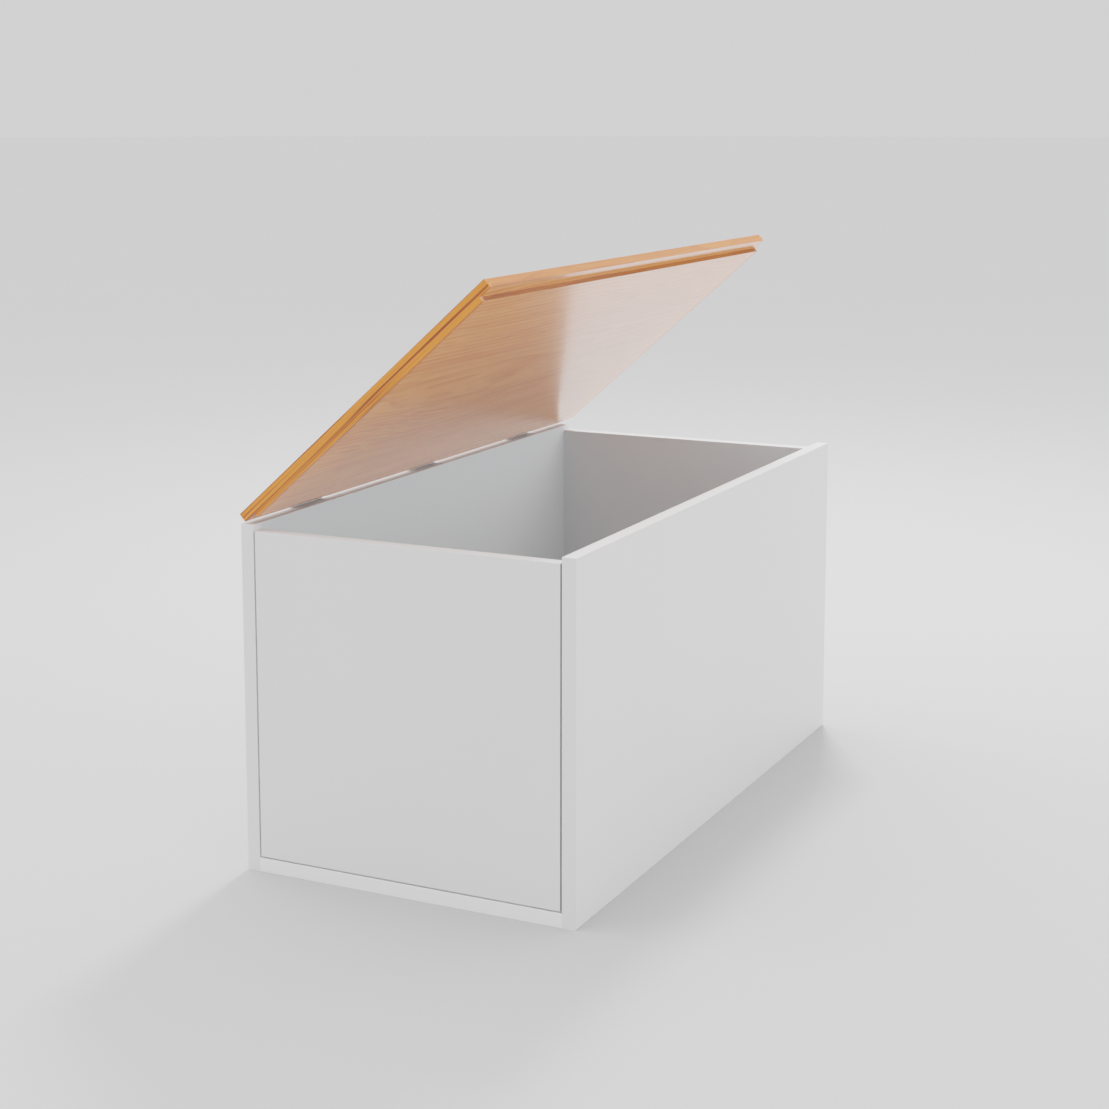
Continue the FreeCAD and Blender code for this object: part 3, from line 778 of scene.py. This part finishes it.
def ease_lid(section, *ends):
    """Eases the closed lid's outward corners, and those round the ends at the given places."""
    sizes = bpy.context.scene.bench_lid
    top = PIN.z + PIN_DROP
    low = top - sizes.rim

    def is_hand_edge(edge, middle):
        return along(edge, 0) and near(middle.y, FRONT_LOW.y) and near(middle.z, top)

    def is_corner(edge, middle):
        if not along(edge, 0):
            return any(near(middle.x, end) for end in ends)
        at_side = near(middle.y, FRONT_LOW.y) or near(middle.y, BACK_HIGH.y)
        at_rim = near(middle.z, top) or near(middle.z, low)
        return (at_side and at_rim) or near(middle.z, low - sizes.tongue)

    round_edges(section, sizes.hand_edge, is_hand_edge)
    round_edges(section, sizes.arris, is_corner, segments=2)


class BENCH_OT_lid_board(bpy.types.Operator):
    """Model the oak board with its rim, its middle and the mortises for the hinges"""

    bl_idname = "bench.lid_board"
    bl_label = "Lid board"

    def execute(self, context):
        sizes = context.scene.bench_lid
        hinge_sizes = context.scene.bench_hinges
        low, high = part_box("lid_board")
        board = lid_section("lid_oak_board", low.x, high.x)
        top = PIN.z + PIN_DROP
        ease_lid(board)
        for side in ("left", "middle", "right"):
            leaf_low, leaf_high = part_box(f"{side}_hinge_fixed_leaf")
            for depth, floor in (
                (hinge_sizes.knuckle_room, PIN.z - hinge_sizes.knuckle_room),
                (hinge_sizes.leaf_room, top - sizes.rim - GAP_SLACK),
            ):
                cutter = block(
                    "cutter",
                    (leaf_low.x - GAP_SLACK, PIN.y - depth, floor),
                    (leaf_high.x + GAP_SLACK, PIN.y + 0.01, top + 0.01),
                )
                cut_away(board, cutter)
        swing_open(board)
        finish_piece(board, oak_finish(), "oak", "lid", "lid_board")
        return {"FINISHED"}


class BENCH_OT_lid_lippings(bpy.types.Operator):
    """Model the cross-grained strips on the two ends of the lid"""

    bl_idname = "bench.lid_lippings"
    bl_label = "Lid lippings"

    def execute(self, context):
        sizes = context.scene.bench_lid
        figure = dict(
            Pale=(*sizes.strip_pale, 1), Brown=(*sizes.strip_brown, 1), Ring_spacing=0.0011,
            Ring_strength=0.2, Line_spacing=0.0023, Line_strength=1.7, Sway=0.012,
        )
        material = lacquered_oak("lacquered_oak_lipping", True, figure, 0)
        for side, out in zip(SIDES, (-1, 1)):
            node = f"lid_{side}_lipping"
            low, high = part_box(node)
            strip = lid_section(f"lid_{side}_strip", low.x, high.x)
            ease_lid(strip, low.x if out < 0 else high.x)
            swing_open(strip)
            finish_piece(strip, material, "oak_lipping", "lid", node)
        return {"FINISHED"}


def oak_finish():
    sizes = bpy.context.scene.bench_lid
    figure = dict(
        Pale=(*sizes.pale, 1), Brown=(*sizes.brown, 1), Ring_spacing=0.0075, Ring_strength=0.45,
        Line_spacing=0.0035, Line_strength=0.4, Sway=0.09,
    )
    return bpy.data.materials.get("lacquered_oak") or lacquered_oak("lacquered_oak", False, figure, 0.4)


# -------------------------------------------------------------------------------------- the hinges


class BENCH_OT_hinges(bpy.types.Operator):
    """Give the hinges' leaves, pins, sleeves and screws their finishes"""

    bl_idname = "bench.hinges"
    bl_label = "Hinges"

    def execute(self, context):
        finish_nodes(powder_coat(), lambda name: name.endswith("_leaf"))
        finish_nodes(
            brushed_metal("ground_steel", (0.50, 0.50, 0.51), 0.24, 0.00001),
            lambda name: name.endswith("_pin") or name.endswith("_sleeves"),
        )
        finish_nodes(
            brushed_metal("zinc_plate", (0.66, 0.66, 0.63), 0.34, 0.00001),
            lambda name: name.endswith("_screws"),
        )
        return {"FINISHED"}


# -------------------------------------------------------------------------------------- the studio


def studio_floor(sizes):
    """A wide matt floor of one pale colour."""
    deselect_all()
    bpy.ops.mesh.primitive_circle_add(vertices=96, radius=FLOOR_RADIUS, fill_type="NGON")
    floor = bpy.context.object
    floor.name = "studio_floor"
    material, tree, shader = new_material("pale_floor", Roughness=0.9, Specular_IOR_Level=0.0)
    vector = object_coordinates(tree)
    cloudy = noise(tree, vector, 0.9, 3, 0.5)
    fine = noise(tree, vector, 240, 2, 0.5)
    tones = [(*(c * shade for c in sizes.floor), 1) for shade in (0.985, 1.015)]
    tree.links.new(mix_colours(tree, cloudy, *tones), shader.inputs["Base Color"])
    tree.links.new(bump(tree, fine, distance=0.0002), shader.inputs["Normal"])
    floor.data.materials.append(material)


def area_light(name, place, aim, width, height, power):
    deselect_all()
    bpy.ops.object.light_add(type="AREA", location=place)
    light = bpy.context.object
    light.name = name
    light.rotation_euler = (Vector(aim) - Vector(place)).to_track_quat("-Z", "Y").to_euler()
    light.data.shape = "RECTANGLE"
    light.data.size = width
    light.data.size_y = height
    light.data.energy = power


def surround(sizes):
    """Even light from all round: a pale horizon, and a brighter tent above it."""
    world = bpy.data.worlds.new("studio")
    bpy.context.scene.world = world
    world.use_nodes = True
    tree = world.node_tree
    toward = add_node(tree, "ShaderNodeTexCoord").outputs["Generated"]
    apart = add_node(tree, "ShaderNodeSeparateXYZ", None, i0=toward)
    back = apart.outputs[1]
    height = apart.outputs[2]
    aside = maths(tree, "MULTIPLY", back, back)
    rise = maths(tree, "MULTIPLY", height, height)
    sides = maths(tree, "MULTIPLY_ADD", aside, sizes.side_light, sizes.end_light)
    overhead = maths(tree, "MULTIPLY_ADD", rise, sizes.top_light, sides)
    lean = maths(tree, "MULTIPLY_ADD", rise, sizes.back_lean, -sizes.front_lean)
    tent = maths(tree, "MULTIPLY_ADD", back, lean, overhead)
    grey = add_node(tree, "ShaderNodeCombineXYZ", None, X=tent, Y=tent, Z=tent).outputs[0]
    tone = mix_colours(tree, span(tree, height, 0.05, 0.12), (*sizes.horizon, 1), grey)
    tree.links.new(tone, tree.nodes["Background"].inputs["Color"])
    tree.nodes["Background"].inputs["Strength"].default_value = sizes.ambient


class BENCH_OT_studio(bpy.types.Operator):
    """Lay the floor, hang the lights and set up the camera"""

    bl_idname = "bench.studio"
    bl_label = "Studio"

    def execute(self, context):
        sizes = context.scene.bench_studio
        studio_floor(sizes)
        surround(sizes)
        area_light(
            "key_light", sizes.key_spot, (0.9, 0.1, 0), sizes.key_size, sizes.key_size, sizes.key_power
        )
        area_light(
            "fill_light", sizes.fill_spot, (0.3, -0.6, 0.1), FILL_SIZE, FILL_SIZE, sizes.fill_power
        )
        bpy.ops.object.camera_add(location=sizes.camera_spot)
        camera = context.object
        camera.name = "camera"
        camera.rotation_euler = (math.pi / 2 - sizes.camera_tilt, 0, sizes.camera_turn - math.pi / 2)
        camera.data.lens = sizes.lens
        camera.data.sensor_width = 36
        camera.data.shift_y = sizes.rise
        context.scene.camera = camera
        context.scene.view_settings.view_transform = "Filmic"
        return {"FINISHED"}


# --------------------------------------------------------------------------------------- the panel

STEPS = (
    BENCH_OT_studio,
    BENCH_OT_long_panels,
    BENCH_OT_end_panels,
    BENCH_OT_bottom_panel,
    BENCH_OT_dowels,
    BENCH_OT_lid_board,
    BENCH_OT_lid_lippings,
    BENCH_OT_hinges,
)
SETTINGS = {
    "bench_carcass": BENCH_PG_carcass,
    "bench_lid": BENCH_PG_lid,
    "bench_hinges": BENCH_PG_hinges,
    "bench_studio": BENCH_PG_studio,
}


class BENCH_PT_sidebar(bpy.types.Panel):
    """Lists the bench's pieces and their sizes"""

    bl_idname = "BENCH_PT_sidebar"
    bl_label = "Storage bench"
    bl_space_type = "VIEW_3D"
    bl_region_type = "UI"
    bl_category = "Bench"

    def draw(self, context):
        for step in STEPS:
            self.layout.operator(step.bl_idname)
        for name in SETTINGS:
            box = self.layout.box()
            group = getattr(context.scene, name)
            for key in group.bl_rna.properties.keys()[2:]:
                box.prop(group, key)


def register():
    for group in (*SETTINGS.values(), *STEPS, BENCH_PT_sidebar):
        bpy.utils.register_class(group)
    for name, group in SETTINGS.items():
        setattr(bpy.types.Scene, name, PointerProperty(type=group))


def unregister():
    for name in SETTINGS:
        delattr(bpy.types.Scene, name)
    for group in (BENCH_PT_sidebar, *reversed(STEPS), *SETTINGS.values()):
        bpy.utils.unregister_class(group)


def main():
    register()
    for step in STEPS:
        family, action = step.bl_idname.split(".")
        getattr(getattr(bpy.ops, family), action)()


if __name__ == "__main__":
    main()
